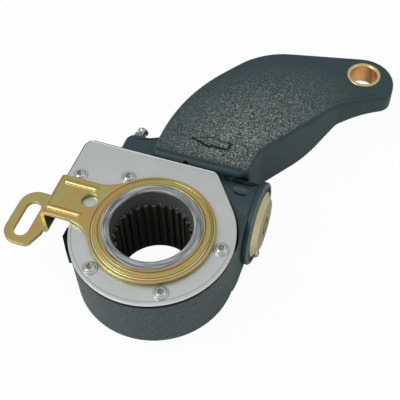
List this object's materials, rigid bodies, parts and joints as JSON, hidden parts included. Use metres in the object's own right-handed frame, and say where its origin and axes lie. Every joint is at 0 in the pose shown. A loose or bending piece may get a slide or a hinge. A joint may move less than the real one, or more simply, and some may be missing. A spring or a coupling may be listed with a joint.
{
  "type": "brake slack adjuster",
  "caption": "Lever arm with a splined hub, worm drive and slotted control arm that takes up brake shoe wear on an S-cam camshaft.",
  "frame": {"origin": "on the camshaft axis, in the outer face of the cover plate", "axes": "+Z out of the cover along the camshaft, +X along the worm towards the end plug, +Y along the lever arm"},
  "size_m": [0.1649, 0.1845, 0.0469],
  "materials": {
    "cast_paint": "satin paint over a sand-cast lever housing",
    "zinc_plate": "matte zinc-plated pressed sheet",
    "zinc_screw": "bright zinc plate",
    "gasket": "dark sheet gasket",
    "bush_bronze": "plain bronze bearing metal",
    "plug_chromate": "pale yellow zinc chromate over turned steel",
    "seal_rubber": "moulded nitrile rubber",
    "spring_steel": "oiled spring wire",
    "machined_steel": "turned and broached steel",
    "collar_steel": "turned steel collar",
    "hardened_steel": "dark case-hardened steel",
    "yellow_chromate": "yellow zinc chromate over pressed sheet steel"
  },
  "bodies": {
    "housing": {"housing": "cast_paint", "cover_plate": "zinc_plate", "cover_gasket": "gasket", "cover_screws": "zinc_screw", "arm_bush": "bush_bronze", "grease_nipple": "zinc_screw", "end_plug": "plug_chromate", "plug_seal": "seal_rubber", "plug_lock_screw": "zinc_screw", "coupling_spring": "spring_steel", "spring_seat": "machined_steel", "thrust_washer": "bush_bronze", "worm_bush": "bush_bronze", "shaft_seal": "seal_rubber", "front_seal": "seal_rubber", "rear_seal": "seal_rubber"},
    "worm_wheel": {"worm_wheel": "machined_steel"},
    "worm": {"worm_shaft": "hardened_steel", "clutch_hub": "machined_steel", "clutch_spring": "spring_steel"},
    "clutch_gear": {"clutch_gear": "hardened_steel"},
    "rack": {"rack": "hardened_steel"},
    "control": {"control_disc": "collar_steel", "control_arm": "yellow_chromate"}
  },
  "joints": [
    {"name": "wheel_turn", "type": "hinge", "parent": "housing", "child": "worm_wheel", "pos_m": [0, 0, 0], "axis": [0, 0, 1], "continuous": true},
    {"name": "worm_turn", "type": "hinge", "parent": "housing", "child": "worm", "pos_m": [0, 0.0335, -0.0205], "axis": [1, 0, 0], "continuous": true},
    {"name": "control_swing", "type": "hinge", "parent": "housing", "child": "control", "pos_m": [0, 0, 0], "axis": [0, 0, 1], "range_deg": [0, 28]},
    {"name": "rack_slide", "type": "slide", "parent": "housing", "child": "rack", "axis": [0, -1, 0], "range_m": [0, 0.013]},
    {"name": "clutch_turn", "type": "hinge", "parent": "housing", "child": "clutch_gear", "pos_m": [0, 0.0335, -0.0205], "axis": [1, 0, 0], "range_deg": [0, 85]}
  ],
  "couplings": [
    {"joint": "wheel_turn", "follows": "worm_turn", "ratio": 0.04},
    {"joint": "rack_slide", "follows": "control_swing", "m_per_rad": 0.0265},
    {"joint": "clutch_turn", "follows": "control_swing", "ratio": 3.0286}
  ]
}
